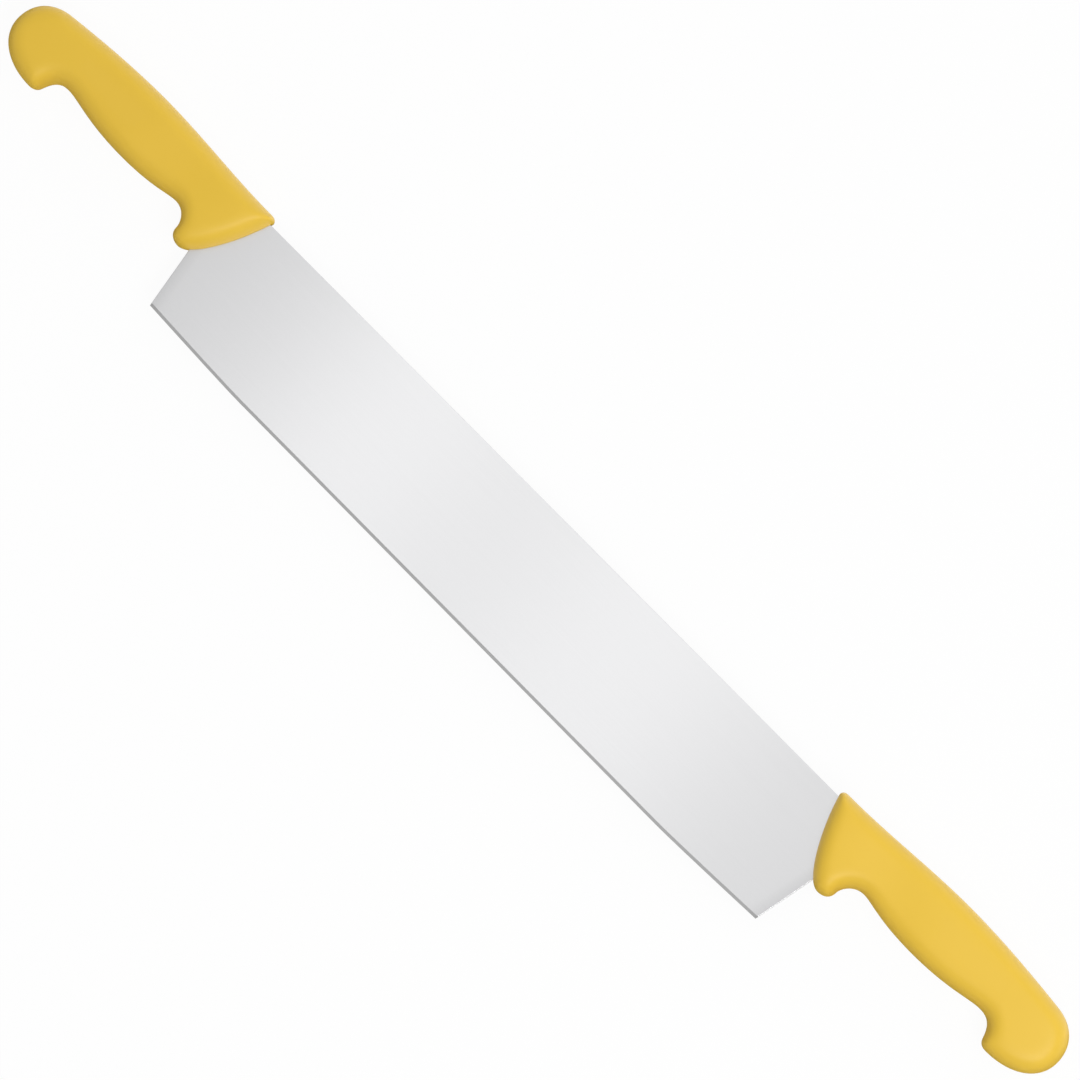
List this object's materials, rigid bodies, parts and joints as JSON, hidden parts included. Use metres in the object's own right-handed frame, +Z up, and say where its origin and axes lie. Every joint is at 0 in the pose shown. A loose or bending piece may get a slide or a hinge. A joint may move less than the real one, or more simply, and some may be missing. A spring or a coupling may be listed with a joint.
{
  "type": "double-handled cheese knife",
  "caption": "Long straight-edged cheese knife blade with a moulded hooked grip at each end, pushed down with both hands to cut whole cheeses.",
  "frame": {"origin": "under the middle of the knife's box, on the surface that the knife lies on", "axes": "+X along the blade from the left handle to the right handle, +Y from the cutting edge to the spine, +Z up out of the blade's face"},
  "size_m": [0.6494, 0.0714, 0.023],
  "materials": {
    "stainless_steel": "satin ground sheet with a finer ground cutting bevel",
    "yellow_polypropylene": "satin moulded skin with a fine even grain"
  },
  "bodies": {
    "root": {"blade": "stainless_steel", "left_handle": "yellow_polypropylene", "right_handle": "yellow_polypropylene"}
  },
  "joints": []
}
